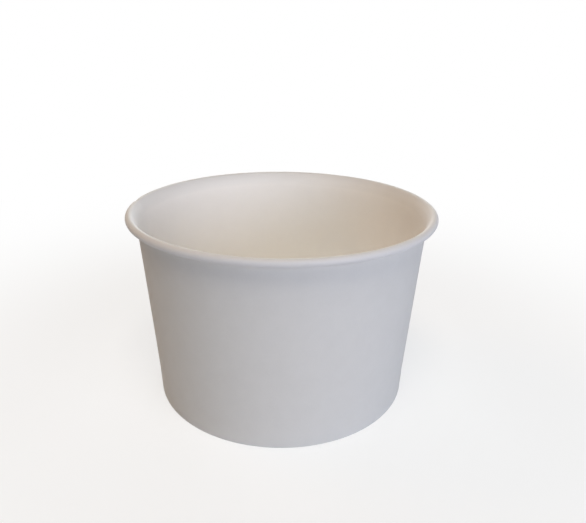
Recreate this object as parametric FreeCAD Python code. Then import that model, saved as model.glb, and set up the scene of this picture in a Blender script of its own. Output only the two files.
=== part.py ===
import FreeCAD
import Part
import math
import os

# Paper sundae cup: a lapped and glued side wall with a rolled rim, and a bottom disc crimped into its base.
# Lengths are in millimetres and angles in degrees. The cup stands on z = 0 with its axis on Z.

# Outer size of the cup
RIM_DIAMETER = 95.0
CUP_HEIGHT = 60.0

# Lean of the side wall from the upright, and the smaller lean of the crimped band at its foot
WALL_TAPER = 3.75
BAND_TAPER = 2.15
BAND_RUN = 7.0
BAND_BLEND_RADIUS = 30.0

# Thickness of the two boards
WALL_BOARD = 0.40
BOTTOM_BOARD = 0.30

# Hem: the foot of the side wall, folded in and up behind the skirt of the bottom disc
HEM_RUN = 5.0
FOLD_RADIUS = 0.22

# Rolled rim: a flare to the outside, then a hollow roll that closes in on itself
FLARE_RADIUS = 6.6
FLARE_TURN = 36.0
ROLL_RADII = (1.00, 0.95, 0.95, 0.70)
ROLL_END_RADIUS = 0.50
ROLL_END_TURN = 70.0

# Bottom disc: height of its upper face, and its skirt
FLOOR_HEIGHT = 7.0
FLOOR_CORNER_RADIUS = 0.8
SKIRT_END_HEIGHT = 0.55

# Side seam: the outer layer climbs a ramp and lies on the inner layer as far as its cut edge
SEAM_ANGLE = 178.0
SEAM_LAP = 8.0
SEAM_RAMP = 8.0
SEAM_LIFT = 0.38
SEAM_TOP_GAP = 0.6
SEAM_VOID_DEPTH = 1.0
SEAM_VOID_LIFT_OFF = 0.8

UPRIGHT = 90.0
QUARTER_TURN = 90.0
FULL_TURN = 360.0
AXIS = FreeCAD.Vector(0, 0, 1)
ORIGIN = FreeCAD.Vector(0, 0, 0)


def direction(heading):
    """Unit vector in the section plane, X outwards and Z up, at a heading from X."""
    angle = math.radians(heading)
    return FreeCAD.Vector(math.cos(angle), 0, math.sin(angle))


class BoardPath:
    """Centre line of a board in the section plane, made of runs and of bends tangent to them."""

    def __init__(self, start, heading):
        self.at = start
        self.heading = heading
        self.steps = []

    def run(self, length):
        """Go straight on."""
        first = (self.at, self.heading)
        self.at = self.at + direction(self.heading) * length
        self.steps.append((first, (self.at, self.heading)))
        return self.at

    def bend(self, radius, turn):
        """Turn on an arc: a positive turn goes to the left, a negative one to the right."""
        side = math.copysign(radius, turn)
        centre = self.at + direction(self.heading + UPRIGHT) * side
        stations = []
        for share in (0.0, 0.5, 1.0):
            heading = self.heading + share * turn
            stations.append((centre - direction(heading + UPRIGHT) * side, heading))
        self.at, self.heading = stations[-1]
        self.steps.append(tuple(stations))
        return self.at

    def face_edges(self, offset):
        """Edges of the line at a distance to the left of the centre line."""
        edges = []
        for stations in self.steps:
            points = [point + direction(heading + UPRIGHT) * offset for point, heading in stations]
            curve = Part.LineSegment(*points) if len(points) == 2 else Part.Arc(*points)
            edges.append(curve.toShape())
        return edges

    def section(self, left, right):
        """Flat face between the lines at two distances to the left of the centre line."""
        near = self.face_edges(left)
        far = self.face_edges(right)
        foot = Part.LineSegment(near[0].firstVertex().Point, far[0].firstVertex().Point)
        head = Part.LineSegment(near[-1].lastVertex().Point, far[-1].lastVertex().Point)
        edges = near + far + [foot.toShape(), head.toShape()]
        return Part.Face(Part.Wire(Part.sortEdges(edges)[0]))


def revolved(face, centre, angle):
    """Solid swept by a face that turns about the upright line through a point."""
    solid = face.revolve(centre, AXIS, angle)
    if solid.Volume < 0:
        solid.reverse()
    return solid


def add_upright(path, wall_run):
    """Crimped band, the soft change to the wall's taper, and the straight wall."""
    path.run(BAND_RUN)
    path.bend(BAND_BLEND_RADIUS, BAND_TAPER - WALL_TAPER)
    path.run(wall_run)


def side_wall_path(start, wall_run):
    """The side wall's board from the top of the hem, round the fold, up the wall and into the rim."""
    path = BoardPath(start, -UPRIGHT - BAND_TAPER)
    path.run(HEM_RUN)
    path.foot = path.bend(FOLD_RADIUS, UPRIGHT + BAND_TAPER)
    path.run((WALL_BOARD + BOTTOM_BOARD - 2 * FOLD_RADIUS) / math.cos(math.radians(BAND_TAPER)))
    path.band_start = path.bend(FOLD_RADIUS, UPRIGHT - BAND_TAPER)
    add_upright(path, wall_run)
    path.bend(FLARE_RADIUS, -FLARE_TURN)
    path.crown = path.bend(ROLL_RADII[0], -path.heading)
    path.lip = path.bend(ROLL_RADII[1], -QUARTER_TURN)
    for radius in ROLL_RADII[2:]:
        path.bend(radius, -QUARTER_TURN)
    path.bend(ROLL_END_RADIUS, -ROLL_END_TURN)
    return path


def fitted_side_wall():
    """The side wall's path, standing on z = 0 and reaching the rim's height and diameter, and its wall run."""
    short = side_wall_path(ORIGIN, 0.0)
    foot_height = short.foot.z - WALL_BOARD / 2
    missing_height = CUP_HEIGHT - WALL_BOARD / 2 - (short.crown.z - foot_height)
    wall_run = missing_height / math.cos(math.radians(WALL_TAPER))
    unplaced = side_wall_path(ORIGIN, wall_run)
    start_radius = RIM_DIAMETER / 2 - WALL_BOARD / 2 - unplaced.lip.x
    start = FreeCAD.Vector(start_radius, 0, -foot_height)
    return side_wall_path(start, wall_run), wall_run


def ramp_centre():
    """Centre of the turn that lifts the outer layer by SEAM_LIFT over the ramp's angle."""
    half_ramp = math.radians(SEAM_RAMP) / 2
    return FreeCAD.Vector(SEAM_LIFT / 2, SEAM_LIFT / (2 * math.tan(half_ramp)), 0)


def seam_ramp(section):
    """A section carried over the ramp: it starts in the wall and ends one board further out."""
    start = section.copy()
    start.rotate(ORIGIN, AXIS, -SEAM_RAMP)
    return revolved(start, ramp_centre(), SEAM_RAMP)


def seam_layer(band_start, wall_run):
    """Outer layer of the lap: the ramp, then the stretch that lies on the inner layer."""
    path = BoardPath(band_start, UPRIGHT - BAND_TAPER)
    add_upright(path, wall_run - SEAM_TOP_GAP)
    section = path.section(WALL_BOARD / 2, -WALL_BOARD / 2)
    lifted = section.copy()
    lifted.translate(FreeCAD.Vector(SEAM_LIFT, 0, 0))
    return [seam_ramp(section), revolved(lifted, ORIGIN, SEAM_LAP)]


def seam_void(band_start, wall_run):
    """Wedge of air inside the ramp, which leaves the inner layer's cut edge standing free."""
    path = BoardPath(band_start, UPRIGHT - BAND_TAPER)
    path.run(BAND_RUN)
    path.bend(BAND_BLEND_RADIUS, BAND_TAPER - WALL_TAPER)
    path.steps.clear()
    path.run(wall_run - SEAM_VOID_LIFT_OFF)
    return seam_ramp(path.section(WALL_BOARD / 2 + SEAM_VOID_DEPTH, WALL_BOARD / 2))


def make_side_wall():
    """One blank: hem, crimped band, wall, rolled rim, and the lap of its side seam."""
    path, wall_run = fitted_side_wall()
    wall = revolved(path.section(WALL_BOARD / 2, -WALL_BOARD / 2), ORIGIN, FULL_TURN)
    wall = wall.fuse(seam_layer(path.band_start, wall_run))
    wall = wall.cut(seam_void(path.band_start, wall_run))
    wall.rotate(ORIGIN, AXIS, SEAM_ANGLE)
    return wall


def bottom_disc_path(disc_run, skirt_run):
    """The bottom board from the axis, round its corner and down its skirt."""
    path = BoardPath(FreeCAD.Vector(0, 0, FLOOR_HEIGHT - BOTTOM_BOARD / 2), 0.0)
    path.run(disc_run)
    path.corner_end = path.bend(FLOOR_CORNER_RADIUS, -UPRIGHT - BAND_TAPER)
    path.run(skirt_run)
    return path


def make_bottom_disc():
    """Disc drawn into a shallow dish, upside down, whose skirt lies between the band and the hem."""
    wall_path, _ = fitted_side_wall()
    inward = direction(UPRIGHT - BAND_TAPER + QUARTER_TURN)
    skirt_foot = wall_path.band_start + inward * (WALL_BOARD + BOTTOM_BOARD) / 2
    trial = bottom_disc_path(1.0, 1.0)
    rise = trial.corner_end.z - skirt_foot.z
    skirt_top_radius = skirt_foot.x + rise * math.tan(math.radians(BAND_TAPER))
    disc_run = 1.0 + skirt_top_radius - trial.corner_end.x
    skirt_run = (trial.corner_end.z - SKIRT_END_HEIGHT) / math.cos(math.radians(BAND_TAPER))
    path = bottom_disc_path(disc_run, skirt_run)
    return revolved(path.section(BOTTOM_BOARD / 2, -BOTTOM_BOARD / 2), ORIGIN, FULL_TURN)


def main():
    os.makedirs("parts", exist_ok=True)
    parts = {
        "side_wall": make_side_wall(),
        "bottom_disc": make_bottom_disc(),
    }
    for name, shape in parts.items():
        shape.exportStep(os.path.join("parts", name + ".step"))
        box = shape.BoundBox
        print(name, "volume", round(shape.Volume, 1), "solids", len(shape.Solids), "valid", shape.isValid())
        print("  box", [round(v, 3) for v in (box.XMin, box.YMin, box.ZMin, box.XMax, box.YMax, box.ZMax)])


main()
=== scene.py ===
import math

import bpy
import numpy as np
from bpy.props import FloatProperty, FloatVectorProperty, IntProperty, PointerProperty
from mathutils import Matrix, Vector


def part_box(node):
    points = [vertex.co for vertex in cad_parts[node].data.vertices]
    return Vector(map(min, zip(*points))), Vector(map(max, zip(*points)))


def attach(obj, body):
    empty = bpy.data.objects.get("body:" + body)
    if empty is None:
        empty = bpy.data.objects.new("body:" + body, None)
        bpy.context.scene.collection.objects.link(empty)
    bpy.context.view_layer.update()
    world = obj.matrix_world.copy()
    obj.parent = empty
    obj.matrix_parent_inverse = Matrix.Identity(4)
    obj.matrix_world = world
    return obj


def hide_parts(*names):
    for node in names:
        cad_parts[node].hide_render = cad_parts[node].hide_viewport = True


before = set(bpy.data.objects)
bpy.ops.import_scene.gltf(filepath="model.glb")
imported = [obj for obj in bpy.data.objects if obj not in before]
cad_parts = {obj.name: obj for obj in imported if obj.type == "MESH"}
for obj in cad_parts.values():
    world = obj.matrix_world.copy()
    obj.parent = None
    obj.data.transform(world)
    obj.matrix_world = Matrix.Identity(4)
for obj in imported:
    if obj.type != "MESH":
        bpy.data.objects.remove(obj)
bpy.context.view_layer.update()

bl_info = {
    "name": "Paper Sundae Cup",
    "version": (1, 0, 0),
    "blender": (4, 5, 0),
    "location": "View3D > Sidebar > Sundae Cup",
    "description": "A paper sundae cup: a wound side wall with a rolled rim, and a crimped bottom",
    "category": "Add Mesh",
}

MM = 0.001
QUARTER = math.pi / 2
FULL = 2 * math.pi
WALL_LOW, WALL_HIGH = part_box("side_wall")
BOTTOM_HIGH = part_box("bottom_disc")[1]

# Steps of the side wall's board, from the top of its hem to the end of its roll
HEM, FOLD_IN, FOOT, FOLD_OUT, BAND, BLEND, WALL, FLARE, CROWN, LIP, UNDER, UP, TUCK = range(13)

# Steps of the bottom's board, from the axis outwards
DISC, CORNER, SKIRT = range(3)

# Rows of the mesh along each step, and columns round the cup
WALL_ROWS = {
    HEM: 7, FOLD_IN: 4, FOOT: 1, FOLD_OUT: 4, BAND: 3, BLEND: 2, WALL: 9,
    FLARE: 5, CROWN: 5, LIP: 6, UNDER: 6, UP: 4, TUCK: 3,
}
BOTTOM_ROWS = {DISC: 16, CORNER: 6, SKIRT: 4}
COLUMNS_PER_RIDGE = 6
BOTTOM_COLUMNS = 504

# The outer layer of the lap lies this many boards further out, so that the two faces never
# coincide, and by this share of a board less in the roll
LAP_CLEARANCE = 1.02
LAP_PRESSED = 0.4

# Share of the roll's end that is cut back where two layers would fill the roll
ROLL_END_CUT = 0.9

# The inner layer's fold comes down from the outer one's over this much board on either side
FOLD_FADE = 4.0 * MM

# Crimp ridges: how far below the hem's top they start, how far above the fold they stop, and
# the width over which they fade
RIDGE_START = 1.4 * MM
RIDGE_STOP = 0.9 * MM
RIDGE_FADE = 0.7 * MM

# Unevenness of the wall: waves round the cup, their middle and swing as shares of the largest,
# how far above the table they start and below the rim's top they stop, and their fades there
WAVE_SEED = 7
WAVE_COUNTS = (2, 3, 5, 8)
WAVE_MIDDLE = 0.5
WAVE_SWING = 0.35
WAVE_START = 9 * MM
WAVE_FADE_IN = 14 * MM
WAVE_STOP = 4 * MM
WAVE_FADE_OUT = 12 * MM

# Draw pleats of the bottom: the two slow waves round the cup that make them uneven, their middle
# and swing as shares of the deepest, how far they stay full past the corner's start, and the
# width over which they fade
PLEAT_SEED = 11
PLEAT_WAVES = (5, 11)
PLEAT_MIDDLE = 0.6
PLEAT_SWING = 0.4
PLEAT_REACH = 0.5 * MM
PLEAT_FADE = 4.0 * MM

# A mesh edge that turns by more than this stays crisp
SHARP_ANGLE = math.radians(50)

# A fibre is longer along the board than across it, by one over this
FIBRE_STRETCH = 0.35


def linear(hex_colour):
    """Linear red, green and blue of an sRGB colour written as a hex number."""
    parts = np.array([int(hex_colour[i:i + 2], 16) for i in (1, 3, 5)]) / 255
    return tuple(np.where(parts <= 0.04045, parts / 12.92, ((parts + 0.055) / 1.055) ** 2.4))


def length(name, description, default):
    """A length that the user can change, in metres."""
    return FloatProperty(
        name=name, description=description, default=default, min=0.0, precision=5, unit="LENGTH",
    )


def angle(name, description, degrees):
    """An angle that the user can change, given in degrees."""
    return FloatProperty(
        name=name, description=description, default=math.radians(degrees), subtype="ANGLE",
    )


def paint(name, description, hex_colour):
    """A colour that the user can change, given as an sRGB hex number."""
    return FloatVectorProperty(
        name=name, description=description, default=linear(hex_colour), min=0.0, max=1.0,
        subtype="COLOR",
    )


class SundaeWallSettings(bpy.types.PropertyGroup):
    """Sizes of the side wall's blank, as wound, hemmed and rolled."""

    rim_diameter: length("Rim diameter", "Width over the rolled rim", WALL_HIGH.x - WALL_LOW.x)
    height: length("Height", "Height of the rim's top above the table", WALL_HIGH.z)
    board: length("Wall board", "Thickness of the side wall's board", 0.40 * MM)
    taper: angle("Wall taper", "Lean of the wall from the upright", 3.75)
    band_taper: angle("Band taper", "Lean of the crimped band at the foot", 2.15)
    band_run: length("Band", "Height of the crimped band", 7.0 * MM)
    blend_radius: length("Band blend", "Radius between the band and the wall", 30.0 * MM)
    hem_run: length("Hem", "Height of the folded hem", 5.0 * MM)
    fold_radius: length("Fold radius", "Radius of the fold at the foot", 0.22 * MM)
    flare_radius: length("Flare radius", "Radius where the wall turns out below the rim", 6.6 * MM)
    flare_turn: angle("Flare turn", "How far the wall turns out before the roll", 36.0)
    roll_radii: FloatVectorProperty(
        name="Roll radii", description="Radii of the roll: crown, lip, under and up",
        size=4, default=(1.00 * MM, 0.95 * MM, 0.95 * MM, 0.70 * MM), precision=5, unit="LENGTH",
    )
    tuck_radius: length("Tuck radius", "Radius of the roll's tucked end", 0.50 * MM)
    tuck_turn: angle("Tuck turn", "How far the roll's end turns inside it", 70.0)
    seam_angle: angle("Seam angle", "Where the inner layer's cut edge stands, from +X", 178.0)
    seam_lap: angle("Seam lap", "Width of the glued overlap", 8.0)
    seam_ramp: angle("Seam ramp", "Width over which the outer layer climbs", 8.0)
    ridge_count: IntProperty(
        name="Ridges", description="Crimp ridges inside the foot", default=126, min=12,
    )
    ridge_depth: length("Ridge depth", "How far the crimp ridges stand out", 0.14 * MM)
    wave: length("Wall wave", "Largest unevenness of the wall", 0.09 * MM)


class SundaeBottomSettings(bpy.types.PropertyGroup):
    """Sizes of the bottom disc."""

    board: length("Bottom board", "Thickness of the bottom's board", 0.30 * MM)
    height: length(
        "Bottom height", "Height of the disc's upper face above the table", BOTTOM_HIGH.z,
    )
    skirt_end: length("Skirt end", "Height of the skirt's lower edge above the table", 0.9 * MM)
    corner_radius: length("Corner radius", "Radius where the disc turns into its skirt", 0.8 * MM)
    bow: length("Bow", "How far the disc bows up at its centre", 0.35 * MM)
    pleat_count: IntProperty(
        name="Pleats", description="Draw pleats round the disc's edge", default=72, min=8,
    )
    pleat_depth: length("Pleat depth", "Height of the draw pleats", 0.05 * MM)


class SundaeFinishSettings(bpy.types.PropertyGroup):
    """Colours and gloss of the board."""

    outside: paint("Outside", "Bleached board on the outside of the wall", "#CACAC9")
    # Painted light in part: the lining is far lighter than the outside, partly the lined face's own
    # tone and partly to brighten the inside of the cup beyond what its lamps give
    lining: paint("Lining", "Board seen through the clear lining inside", "#F4F3F1")
    # Painted shade: the rim's colour is darker than the lining, so that the up-facing roll renders
    # dimmer than its lamps light it
    rim_painted_shade: paint(
        "Rolled rim", "The lining where the rolling has stretched and dulled it", "#C5C5C7",
    )
    edge: paint("Cut edge", "Raw cut edge of the board", "#CFC8BC")
    outside_roughness: FloatProperty(
        name="Outside roughness", description="Roughness of the calendered board", default=0.85,
        min=0.0, max=1.0, subtype="FACTOR",
    )
    lining_roughness: FloatProperty(
        name="Lining roughness", description="Roughness of the lining film", default=0.65,
        min=0.0, max=1.0, subtype="FACTOR",
    )


class SundaeStageSettings(bpy.types.PropertyGroup):
    """Camera, lamps and floor."""

    camera_target: FloatVectorProperty(
        name="Camera target", description="Point at the middle of the picture",
        default=(3.48 * MM, 0.0, 40.86 * MM), precision=5, unit="LENGTH",
    )
    camera_distance: length("Camera distance", "From the target to the camera", 178.6 * MM)
    camera_elevation: angle("Camera elevation", "Camera's angle above the table", 21.81)
    camera_roll: angle("Camera roll", "Camera's turn about its own line of sight", 0.74)
    lens: FloatProperty(
        name="Lens", description="Focal length in millimetres", default=33.73, min=1.0,
    )
    floor_colour: paint("Floor", "Plain pale floor", "#F1F6FC")


class BoardLine:
    """Centre line of a board in the section plane: steps of even curvature, tangent to each other.

    Along a step with curvature k, at distance d from its start, the heading has turned by k d, and
    the point has moved along the chord: by d sinc(k d / 2) in the direction of the mean heading. A
    straight run is a step with no curvature, where the sinc is one.
    """

    def __init__(self, start, heading, steps):
        lengths, turns = np.array(list(steps.values()), float).T
        self.start = np.concatenate(([0.0], np.cumsum(lengths)))
        self.curvature = turns / lengths
        self.heading = heading + np.concatenate(([0.0], np.cumsum(turns)))
        chords = self.chord(lengths, self.heading[:-1], self.curvature)
        self.point = np.array(start) + np.vstack(([0.0, 0.0], np.cumsum(chords, axis=0)))

    @staticmethod
    def chord(distance, heading, curvature):
        """Movement over a distance along a step, as radius and height."""
        mean = heading + curvature * distance / 2
        reach = distance * np.sinc(curvature * distance / FULL)
        return np.stack((reach * np.cos(mean), reach * np.sin(mean)), axis=-1)

    def at(self, distance):
        """Points and headings at distances along the board."""
        step = np.searchsorted(self.start, distance, side="right") - 1
        step = np.clip(step, 0, len(self.curvature) - 1)
        beyond = distance - self.start[step]
        points = self.point[step] + self.chord(beyond, self.heading[step], self.curvature[step])
        return points, self.heading[step] + self.curvature[step] * beyond

    def stations(self, rows):
        """Distances along the board with a given number of rows on each step."""
        spans = [
            np.linspace(start, end, count, endpoint=False)
            for start, end, count in zip(self.start, self.start[1:], rows.values())
        ]
        return np.concatenate(spans + [self.start[-1:]])


def run(distance):
    """A straight step of a board, as its length and its turn."""
    return distance, 0.0


def bend(radius, turn):
    """A step of a board on an arc, as its length and its turn: positive to the left."""
    return radius * abs(turn), turn


def to_the_right(heading):
    """Unit normal on the right-hand side of a heading, as radius and height."""
    return np.stack((np.sin(heading), -np.cos(heading)), axis=-1)


def smooth(x):
    """Nought up to 0, one from 1, and 3 x squared minus 2 x cubed between."""
    x = np.clip(x, 0.0, 1.0)
    return x * x * (3 - 2 * x)


def bump_between(x, low, high, soft):
    """One between low and high, fading to nought over a soft width outside them."""
    return smooth((x - low + soft) / soft) * smooth((high + soft - x) / soft)


def round_the_axis(radius, azimuth, height):
    """Points at a radius from the axis, an angle round it and a height."""
    return np.stack((radius * np.cos(azimuth), radius * np.sin(azimuth), height), axis=-1)


def loop_of(left, right):
    """Rows of a board's two faces as one loop: along the left face, and back along the right."""
    return np.concatenate((left, right[:, ::-1]), axis=1)


def wall_steps(wall, bottom, wall_run):
    """Each step of the side wall's board, from the top of the hem to the roll's end.

    The fold turns up to the left, and the flare and the roll turn to the right.
    """
    foot_run = (wall.board + bottom.board - 2 * wall.fold_radius) / math.cos(wall.band_taper)
    crown, lip, under, up = wall.roll_radii
    crown_turn = QUARTER - wall.taper - wall.flare_turn
    return {
        HEM: run(wall.hem_run),
        FOLD_IN: bend(wall.fold_radius, QUARTER + wall.band_taper),
        FOOT: run(foot_run),
        FOLD_OUT: bend(wall.fold_radius, QUARTER - wall.band_taper),
        BAND: run(wall.band_run),
        BLEND: bend(wall.blend_radius, wall.band_taper - wall.taper),
        WALL: run(wall_run),
        FLARE: bend(wall.flare_radius, -wall.flare_turn),
        CROWN: bend(crown, -crown_turn),
        LIP: bend(lip, -QUARTER),
        UNDER: bend(under, -QUARTER),
        UP: bend(up, -QUARTER),
        TUCK: bend(wall.tuck_radius, -wall.tuck_turn),
    }


def wall_line(wall, bottom):
    """The side wall's board, standing on the table and reaching the rim's height and diameter.

    It is laid out once with a trial wall, and the wall's run and the start are then moved by what
    the foot, the crown and the lip miss.
    """
    heading = -QUARTER - wall.band_taper
    trial_run = wall.height / 2
    trial = BoardLine((0.0, 0.0), heading, wall_steps(wall, bottom, trial_run))
    foot_height = trial.point[FOOT][1] - wall.board / 2
    missing = wall.height - wall.board / 2 - (trial.point[LIP][1] - foot_height)
    wall_run = trial_run + missing / math.cos(wall.taper)
    lip_reach = trial.point[UNDER][0] + (wall_run - trial_run) * math.sin(wall.taper)
    start = (wall.rim_diameter / 2 - wall.board / 2 - lip_reach, -foot_height)
    return BoardLine(start, heading, wall_steps(wall, bottom, wall_run))


def wall_wave(wall, azimuth, height):
    """Slight unevenness of a wound wall, always inwards: sines of a few whole waves round the cup,
    the more waves the lower, each leaning with height, and none at the band or the rim."""
    rng = np.random.default_rng(WAVE_SEED)
    total = np.zeros(np.broadcast(azimuth, height).shape)
    for count in WAVE_COUNTS:
        phase, lean = rng.uniform(0.0, FULL, 2)
        total += np.sin(count * azimuth + phase + lean * height / wall.height) / count
    above_band = smooth((height - WAVE_START) / WAVE_FADE_IN)
    below_rim = smooth((wall.height - WAVE_STOP - height) / WAVE_FADE_OUT)
    return -wall.wave * (WAVE_MIDDLE + WAVE_SWING * total) * (above_band * below_rim)


def wall_surface(wall, bottom):
    """Both faces of the side wall's blank, as points, texture places and the blank's row count.

    A point is given by its angle along the winding and its distance along the board. Its face lies
    half a board to the left or right of the centre line. Over the ramp the outer layer moves one
    board to the right of the inner one, where it stays over the lap. Ridges, cosines of the angle,
    stand out to the right of the hem.
    """
    line = wall_line(wall, bottom)
    columns = round(wall.ridge_count * COLUMNS_PER_RIDGE * (FULL + wall.seam_lap) / FULL) + 1
    around = np.linspace(0.0, FULL + wall.seam_lap, columns)[:, None]
    outer_layer = smooth((around - FULL + wall.seam_ramp) / wall.seam_ramp)
    near_seam = np.maximum(outer_layer, 1 - smooth((around - wall.seam_lap) / wall.seam_ramp))
    rows = line.stations(WALL_ROWS)[None, :]

    # The roll's end is cut back where two layers would fill the roll
    roll_end = line.start[UP]
    kept = 1 - ROLL_END_CUT * near_seam
    along = np.where(rows > roll_end, roll_end + (rows - roll_end) * kept, rows)
    centre, heading = line.at(along)
    right = to_the_right(heading)

    in_roll = smooth((along - line.start[FLARE]) / (line.start[LIP] - line.start[FLARE]))
    lift = (LAP_CLEARANCE - LAP_PRESSED * in_roll) * wall.board * outer_layer
    azimuth = wall.seam_angle + around
    hem_window = bump_between(along, RIDGE_START, wall.hem_run - RIDGE_STOP, RIDGE_FADE)
    ridge = 0.5 + 0.5 * np.cos(wall.ridge_count * azimuth)
    lift = lift + wall.ridge_depth * ridge * hem_window

    # At the lap the inner layer's fold stands on the outer one's, which stays on the table
    fold_window = bump_between(along, line.start[FOLD_IN], line.start[BAND], FOLD_FADE)
    raised = LAP_CLEARANCE * wall.board * near_seam * fold_window
    faces = []
    for side in (-0.5, 0.5):
        section = centre + right * (side * wall.board + lift)[..., None]
        radius = section[..., 0] + wall_wave(wall, azimuth, section[..., 1])
        faces.append(round_the_axis(radius, azimuth, section[..., 1] + raised))
    place = np.stack(np.broadcast_arrays(around * wall.rim_diameter / 2, along), axis=-1)
    return loop_of(*faces), loop_of(place, place), rows.shape[1]


def bottom_line(wall, bottom):
    """The bottom's board from the axis to its skirt's end.

    The skirt lies on the band's inner face, and the disc reaches out as far as the corner needs.
    """
    upright = wall_line(wall, bottom)
    gap = (wall.board + bottom.board) / 2
    beside = upright.point[BAND] - gap * to_the_right(QUARTER - wall.band_taper)
    turn = QUARTER + wall.band_taper
    height = bottom.height - bottom.board / 2
    corner_reach, corner_drop = BoardLine.chord(
        np.array(bottom.corner_radius * turn), 0.0, -1 / bottom.corner_radius
    )
    skirt_top = height + corner_drop
    skirt_radius = beside[0] + (skirt_top - beside[1]) * math.tan(wall.band_taper)
    return BoardLine((0.0, height), 0.0, {
        DISC: run(skirt_radius - corner_reach),
        CORNER: bend(bottom.corner_radius, -turn),
        SKIRT: run((skirt_top - bottom.skirt_end) / math.cos(wall.band_taper)),
    })


def bottom_surface(wall, bottom):
    """Both faces of the bottom, as points, texture places and the row count.

    A point is given by its angle round the axis and its distance along the board from the axis. The
    disc bows up by a cosine of its radius, and draw pleats, sines round the cup, rise towards its
    corner.
    """
    line = bottom_line(wall, bottom)
    around = np.linspace(0.0, FULL, BOTTOM_COLUMNS, endpoint=False)[:, None]
    along = line.stations(BOTTOM_ROWS)[None, 1:]
    centre, heading = line.at(along)
    right = to_the_right(heading)
    corner = line.start[CORNER]
    bow = bottom.bow * (0.5 + 0.5 * np.cos(np.pi * np.clip(along / corner, 0.0, 1.0)))
    rng = np.random.default_rng(PLEAT_SEED)
    phases = rng.uniform(0.0, FULL, 2)
    slow, quick = (np.sin(count * around + phase) for count, phase in zip(PLEAT_WAVES, phases))
    uneven = PLEAT_MIDDLE + PLEAT_SWING * slow * quick
    at_corner = bump_between(along, corner, corner + PLEAT_REACH, PLEAT_FADE)
    pleats = np.sin(bottom.pleat_count * around) * uneven * at_corner
    lift = bow + bottom.pleat_depth * pleats * (along <= line.start[SKIRT])
    faces = []
    for side in (-0.5, 0.5):
        section = centre + right * (side * bottom.board)
        faces.append(round_the_axis(section[..., 0], around, section[..., 1] + lift))
    place = np.stack((along * np.cos(around), along * np.sin(around)), axis=-1)
    return loop_of(*faces), loop_of(place, place), along.shape[1]


def strip_quads(columns, loop, closed):
    """Quads between neighbouring columns of a grid whose rows close into a loop."""
    across = np.arange(columns if closed else columns - 1)[:, None]
    row = np.arange(loop)[None, :]
    following = (across + 1) % columns
    quads = np.stack((
        across * loop + row, across * loop + (row + 1) % loop,
        following * loop + (row + 1) % loop, following * loop + row,
    ), axis=-1)
    return quads.reshape(-1, 4)


def end_quads(column, loop, rows, forwards):
    """Quads that close one end of a blank, between its two faces."""
    row = np.arange(rows - 1)
    near = column * loop + row
    far = column * loop + loop - 1 - row
    quads = np.stack((near, near + 1, far - 1, far), axis=-1)
    return quads[:, ::-1] if forwards else quads


def board_slots(quads, loop, rows):
    """Material of each strip quad: 0 on the left face, 1 on the right and 2 on the cut edges."""
    row = quads[:, 0] % loop
    slots = np.where(row < rows - 1, 0, 1)
    return np.where((row == rows - 1) | (row == loop - 1), 2, slots)


def board_object(name, points, places, faces, slots, materials):
    """Mesh object with smooth faces, sharp cut edges and the flat board's own texture places."""
    mesh = bpy.data.meshes.new(name)
    mesh.from_pydata(points.reshape(-1, 3), [], faces)
    mesh.polygons.foreach_set("material_index", np.asarray(slots, np.int32))
    mesh.polygons.foreach_set("use_smooth", np.ones(len(mesh.polygons), bool))
    for material in materials:
        mesh.materials.append(material)
    corners = np.empty(len(mesh.loops), np.int32)
    mesh.loops.foreach_get("vertex_index", corners)
    layer = mesh.uv_layers.new(name="Board")
    layer.data.foreach_set("uv", places.reshape(-1, 2)[corners].astype(np.float32).ravel())
    mesh.set_sharp_from_angle(angle=SHARP_ANGLE)
    mesh.validate()
    mesh.update()
    piece = bpy.data.objects.new(name, mesh)
    bpy.context.scene.collection.objects.link(piece)
    return piece


def add_node(tree, kind, inputs=None, **settings):
    """Adds a node, sets its properties, and gives each input a value or another node's output."""
    node = tree.nodes.new(kind)
    for name, value in settings.items():
        setattr(node, name, value)
    for name, value in (inputs or {}).items():
        if isinstance(value, bpy.types.NodeSocket):
            tree.links.new(value, node.inputs[name])
        else:
            node.inputs[name].default_value = value
    return node


def new_material(name):
    """An empty node material and its tree."""
    material = bpy.data.materials.new(name)
    material.use_nodes = True
    material.node_tree.nodes.clear()
    return material, material.node_tree


def colour_with_rim_shade(tree, board, colour, rim):
    """The board's colour, and an even change to the rim's painted shade, a darker colour that dims
    the up-facing roll, between two distances along the board.
    """
    rim_shade_colour, start, end = rim
    along = add_node(tree, "ShaderNodeSeparateXYZ", {"Vector": board.outputs["UV"]})
    share = add_node(tree, "ShaderNodeMapRange", {
        "Value": along.outputs["Y"], "From Min": start, "From Max": end,
    })
    return add_node(tree, "ShaderNodeMix", {
        "Factor": share.outputs["Result"], "A": (*colour, 1.0), "B": (*rim_shade_colour, 1.0),
    }, data_type="RGBA").outputs["Result"]


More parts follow.
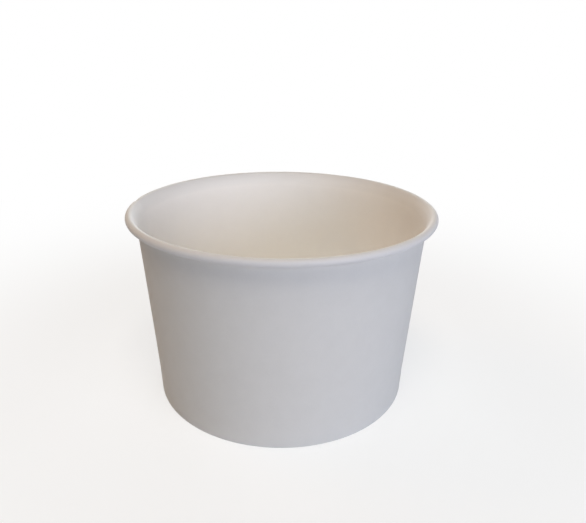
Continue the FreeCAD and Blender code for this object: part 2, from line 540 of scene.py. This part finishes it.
def board_material(name, colour, cloud_mm, fibre_mm, tone, relief_mm, rim=None, **shader):
    """Paper board: clouds of uneven fibre, and single fibres drawn out along the board.

    The clouds and the fibres together darken the colour by up to the tone, and the fibres also
    stand in relief. A real fibre is 0.03 mm wide, so it is drawn about ten times as wide to show
    at all.
    """
    material, tree = new_material(name)
    board = add_node(tree, "ShaderNodeUVMap", uv_map="Board")
    plain = colour_with_rim_shade(tree, board, colour, rim) if rim else (*colour, 1.0)
    clouds = add_node(tree, "ShaderNodeTexNoise", {
        "Vector": board.outputs["UV"], "Scale": 1 / (cloud_mm * MM),
        "Detail": 4.0, "Roughness": 0.55,
    })
    stretched = add_node(tree, "ShaderNodeMapping", {
        "Vector": board.outputs["UV"], "Scale": (1.0, FIBRE_STRETCH, 1.0),
    })
    fibres = add_node(tree, "ShaderNodeTexNoise", {
        "Vector": stretched.outputs["Vector"], "Scale": 1 / (fibre_mm * MM),
        "Detail": 3.0, "Roughness": 0.7,
    })
    both = add_node(tree, "ShaderNodeMath", {
        0: clouds.outputs["Fac"], 1: fibres.outputs["Fac"],
    }, operation="ADD")
    shade = add_node(tree, "ShaderNodeMapRange", {
        "Value": both.outputs["Value"],
        "From Min": 0.7, "From Max": 1.3, "To Min": 1.0, "To Max": 0.0,
    })
    tinted = add_node(tree, "ShaderNodeMix", {
        "Factor": shade.outputs["Result"], "A": plain, "B": (1 - tone, 1 - tone, 1 - tone, 1.0),
    }, data_type="RGBA", blend_type="MULTIPLY")
    relief = add_node(tree, "ShaderNodeBump", {
        "Height": fibres.outputs["Fac"], "Distance": relief_mm * MM, "Strength": 0.6,
    })
    surface = add_node(tree, "ShaderNodeBsdfPrincipled", {
        "Base Color": tinted.outputs["Result"], "Normal": relief.outputs["Normal"], **shader,
    })
    add_node(tree, "ShaderNodeOutputMaterial", {"Surface": surface.outputs["BSDF"]})
    return material


def calendered_board(finish):
    """Bleached paperboard, pressed smooth between rollers: a matt white without gloss.

    Its open fibres scatter most of what a sealed face would reflect, so its specular level is low.
    """
    shader = {"Roughness": finish.outside_roughness, "IOR": 1.5, "Specular IOR Level": 0.22}
    return board_material(
        "bleached_board_calendered", finish.outside,
        cloud_mm=5.0, fibre_mm=0.35, tone=0.035, relief_mm=0.020, **shader,
    )


def lined_board(finish, rim=None):
    """The same board under an extruded film of polyethylene: slightly warmer, with the film's soft
    sheen, and lighter, partly by its own tone and partly by painted light for the brighter inside
    of the cup.
    Over the rim its colour turns darker: painted shade that dims the up-facing roll."""
    return board_material(
        "bleached_board_film_lined", finish.lining,
        cloud_mm=6.0, fibre_mm=0.5, tone=0.022, relief_mm=0.012, rim=rim,
        Roughness=finish.lining_roughness, IOR=1.51,
    )


def cut_edge(finish):
    """Raw edge of knife-cut paperboard: its fibres show end on, warmer, rougher and unlined."""
    return board_material(
        "bleached_board_knife_cut", finish.edge,
        cloud_mm=1.2, fibre_mm=0.25, tone=0.10, relief_mm=0.05, Roughness=0.9, IOR=1.5,
    )


class SUNDAE_OT_side_wall(bpy.types.Operator):
    """Winds the side wall's blank, with its hem, its lapped seam and its rolled rim"""

    bl_idname = "sundae.side_wall"
    bl_label = "Side Wall"

    def execute(self, context):
        scene = context.scene
        points, places, rows = wall_surface(scene.sundae_wall, scene.sundae_bottom)
        columns, loop = points.shape[:2]
        sides = strip_quads(columns, loop, closed=False)
        ends = [end_quads(0, loop, rows, True), end_quads(columns - 1, loop, rows, False)]
        faces = np.concatenate([sides] + ends)
        end_slots = np.full(2 * (rows - 1), 2)
        slots = np.concatenate((board_slots(sides, loop, rows), end_slots))
        finish = scene.sundae_finish
        line = wall_line(scene.sundae_wall, scene.sundae_bottom)
        # The lining turns to the rim's painted shade between the flare's start and the lip's end
        rim = (finish.rim_painted_shade, line.start[FLARE], line.start[UNDER])
        materials = [lined_board(finish, rim), calendered_board(finish), cut_edge(finish)]
        piece = board_object("wound_side_wall", points, places, faces, slots, materials)
        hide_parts("side_wall")
        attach(piece, "root")
        return {"FINISHED"}


class SUNDAE_OT_bottom(bpy.types.Operator):
    """Sets the drawn bottom disc into the foot of the side wall"""

    bl_idname = "sundae.bottom"
    bl_label = "Bottom Disc"

    def execute(self, context):
        scene = context.scene
        points, places, rows = bottom_surface(scene.sundae_wall, scene.sundae_bottom)
        columns, loop = points.shape[:2]
        sides = strip_quads(columns, loop, closed=True)
        sides = sides[sides[:, 0] % loop != loop - 1]
        slots = board_slots(sides, loop, rows)
        grid = points.reshape(-1, 3)
        rings = np.arange(columns) * loop
        poles = [grid[rings].mean(axis=0), grid[rings + loop - 1].mean(axis=0)]
        top, under = len(grid), len(grid) + 1
        pairs = list(zip(rings.tolist(), np.roll(rings, -1).tolist()))
        caps = [(top, a, b) for a, b in pairs]
        caps += [(under, b + loop - 1, a + loop - 1) for a, b in pairs]
        finish = scene.sundae_finish
        materials = [lined_board(finish), calendered_board(finish), cut_edge(finish)]
        piece = board_object(
            "drawn_bottom_disc", np.vstack((grid, poles)),
            np.vstack((places.reshape(-1, 2), np.zeros((2, 2)))),
            sides.tolist() + caps, np.concatenate((slots, np.repeat((0, 1), columns))), materials,
        )
        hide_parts("bottom_disc")
        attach(piece, "root")
        return {"FINISHED"}


def aimed(position, target):
    """Turn that points an object's -Z from its position at a target, with Y up."""
    return (target - position).to_track_quat("-Z", "Y")


def around_target(target, azimuth, elevation, distance):
    """Point at a distance from the target: azimuth 0 is in front of the cup, 90 on its right."""
    a, e = math.radians(azimuth), math.radians(elevation)
    out = Vector((math.sin(a) * math.cos(e), -math.cos(a) * math.cos(e), math.sin(e)))
    return target + out * distance


# Softboxes: name, azimuth and elevation in degrees, width and height in metres, colour, and power
# in watts
LAMPS = (
    ("top_softbox", 0.0, 66.0, 0.45, 0.45, "#FFF4E3", 5.61),
    ("window_softbox", 37.5, 10.0, 0.90, 0.45, "#E4EBFF", 6.68),
    ("fill_softbox", -110.0, 35.0, 0.45, 0.45, "#FFC282", 1.70),
    ("back_softbox", 180.0, 12.0, 0.90, 0.45, "#F7FCFF", 6.0),
)
LAMP_DISTANCE = 1.0

# Half the floor's width, and the distance from the cup's axis at which it has run out into white
FLOOR_REACH = 20.0
FLOOR_NEAR = 0.30
WHITE = (1.0, 1.0, 1.0, 1.0)

# Faint light that comes from all sides
AMBIENT_COLOUR = "#F3EFEA"
AMBIENT_STRENGTH = 0.01


def add_lamps(target):
    """Softboxes round the cup, all at one distance and aimed at its middle."""
    for name, azimuth, elevation, width, height, hex_colour, power in LAMPS:
        data = bpy.data.lights.new(name, "AREA")
        data.shape = "RECTANGLE"
        data.size = width
        data.size_y = height
        data.energy = power
        data.color = linear(hex_colour)
        lamp = bpy.data.objects.new(name, data)
        lamp.location = around_target(target, azimuth, elevation, LAMP_DISTANCE)
        lamp.rotation_mode = "QUATERNION"
        lamp.rotation_quaternion = aimed(lamp.location, target)
        bpy.context.scene.collection.objects.link(lamp)


def seen_directly(tree):
    """One for rays from the camera, a reflection or through glass, and nought for the rest."""
    path = add_node(tree, "ShaderNodeLightPath")
    first = add_node(tree, "ShaderNodeMath", {
        0: path.outputs["Is Camera Ray"], 1: path.outputs["Is Glossy Ray"],
    }, operation="MAXIMUM")
    second = add_node(tree, "ShaderNodeMath", {
        0: first.outputs["Value"], 1: path.outputs["Is Transmission Ray"],
    }, operation="MAXIMUM")
    return second.outputs["Value"]


def add_floor(stage):
    """A plain pale floor that keeps the cup's soft shadow and runs out into white."""
    square = ((-1, -1), (1, -1), (1, 1), (-1, 1))
    corners = [(x * FLOOR_REACH, y * FLOOR_REACH, 0.0) for x, y in square]
    mesh = bpy.data.meshes.new("floor")
    mesh.from_pydata(corners, [], [(0, 1, 2, 3)])
    floor = bpy.data.objects.new("floor", mesh)
    bpy.context.scene.collection.objects.link(floor)
    material, tree = new_material("matt_studio_sweep")
    paper = add_node(tree, "ShaderNodeBsdfDiffuse", {"Color": (*stage.floor_colour, 1.0)})
    white = add_node(tree, "ShaderNodeEmission", {"Color": WHITE, "Strength": 1.0})
    where = add_node(tree, "ShaderNodeTexCoord")
    near = add_node(tree, "ShaderNodeMapping", {
        "Vector": where.outputs["Object"], "Scale": (1 / FLOOR_NEAR,) * 3,
    })
    fade = add_node(tree, "ShaderNodeTexGradient", {
        "Vector": near.outputs["Vector"],
    }, gradient_type="QUADRATIC_SPHERE")
    shown = add_node(tree, "ShaderNodeMapRange", {
        "Value": fade.outputs["Fac"],
        "From Min": 0.0, "From Max": 0.55, "To Min": 1.0, "To Max": 0.65,
    }, interpolation_type="SMOOTHSTEP")
    share = add_node(tree, "ShaderNodeMath", {
        0: shown.outputs["Result"], 1: seen_directly(tree),
    }, operation="MULTIPLY")
    mixed = add_node(tree, "ShaderNodeMixShader", {
        0: share.outputs["Value"], 1: paper.outputs["BSDF"], 2: white.outputs["Emission"],
    })
    add_node(tree, "ShaderNodeOutputMaterial", {"Surface": mixed.outputs["Shader"]})
    mesh.materials.append(material)


def add_world():
    """A soft even surround, seen as plain white."""
    world = bpy.data.worlds.new("studio_surround")
    bpy.context.scene.world = world
    world.use_nodes = True
    tree = world.node_tree
    tree.nodes.clear()
    ambient = add_node(tree, "ShaderNodeBackground", {
        "Color": (*linear(AMBIENT_COLOUR), 1.0), "Strength": AMBIENT_STRENGTH,
    })
    white = add_node(tree, "ShaderNodeBackground", {"Color": WHITE, "Strength": 1.0})
    mixed = add_node(tree, "ShaderNodeMixShader", {
        0: seen_directly(tree), 1: ambient.outputs["Background"], 2: white.outputs["Background"],
    })
    add_node(tree, "ShaderNodeOutputWorld", {"Surface": mixed.outputs["Shader"]})


def add_camera(stage):
    """The photograph's view: in front of the cup, a little above it, rolled by under a degree."""
    data = bpy.data.cameras.new("camera")
    data.lens = stage.lens
    data.sensor_width = 36.0
    data.clip_start = 0.01
    camera = bpy.data.objects.new("camera", data)
    target = Vector(stage.camera_target)
    elevation = math.degrees(stage.camera_elevation)
    camera.location = around_target(target, 0.0, elevation, stage.camera_distance)
    camera.rotation_mode = "QUATERNION"
    roll = Matrix.Rotation(stage.camera_roll, 4, "Z").to_quaternion()
    camera.rotation_quaternion = aimed(camera.location, target) @ roll
    bpy.context.scene.collection.objects.link(camera)
    bpy.context.scene.camera = camera


class SUNDAE_OT_stage(bpy.types.Operator):
    """Sets up the floor, the surround, the lamps and the camera"""

    bl_idname = "sundae.stage"
    bl_label = "Stage"

    def execute(self, context):
        stage = context.scene.sundae_stage
        context.scene.view_settings.view_transform = "Standard"
        add_floor(stage)
        add_world()
        add_lamps(Vector((0.0, 0.0, context.scene.sundae_wall.height / 2)))
        add_camera(stage)
        return {"FINISHED"}


class SUNDAE_PT_panel(bpy.types.Panel):
    """Lists the cup's sizes, its finish and its operators"""

    bl_idname = "SUNDAE_PT_panel"
    bl_label = "Sundae Cup"
    bl_space_type = "VIEW_3D"
    bl_region_type = "UI"
    bl_category = "Sundae Cup"

    def draw(self, context):
        for group_name in SETTINGS:
            group = getattr(context.scene, group_name)
            box = self.layout.box()
            for name in group.bl_rna.properties.keys():
                if name not in ("rna_type", "name"):
                    box.prop(group, name)
        for operator in OPERATORS:
            self.layout.operator(operator.bl_idname)


SETTINGS = {
    "sundae_wall": SundaeWallSettings,
    "sundae_bottom": SundaeBottomSettings,
    "sundae_finish": SundaeFinishSettings,
    "sundae_stage": SundaeStageSettings,
}
OPERATORS = (SUNDAE_OT_side_wall, SUNDAE_OT_bottom, SUNDAE_OT_stage)


def register():
    for name, group in SETTINGS.items():
        bpy.utils.register_class(group)
        setattr(bpy.types.Scene, name, PointerProperty(type=group))
    for cls in (*OPERATORS, SUNDAE_PT_panel):
        bpy.utils.register_class(cls)


def unregister():
    for cls in (SUNDAE_PT_panel, *reversed(OPERATORS)):
        bpy.utils.unregister_class(cls)
    for name, group in SETTINGS.items():
        delattr(bpy.types.Scene, name)
        bpy.utils.unregister_class(group)


def main():
    """Builds the cup and its stage."""
    register()
    bpy.ops.sundae.side_wall()
    bpy.ops.sundae.bottom()
    bpy.ops.sundae.stage()


if __name__ == "__main__":
    main()
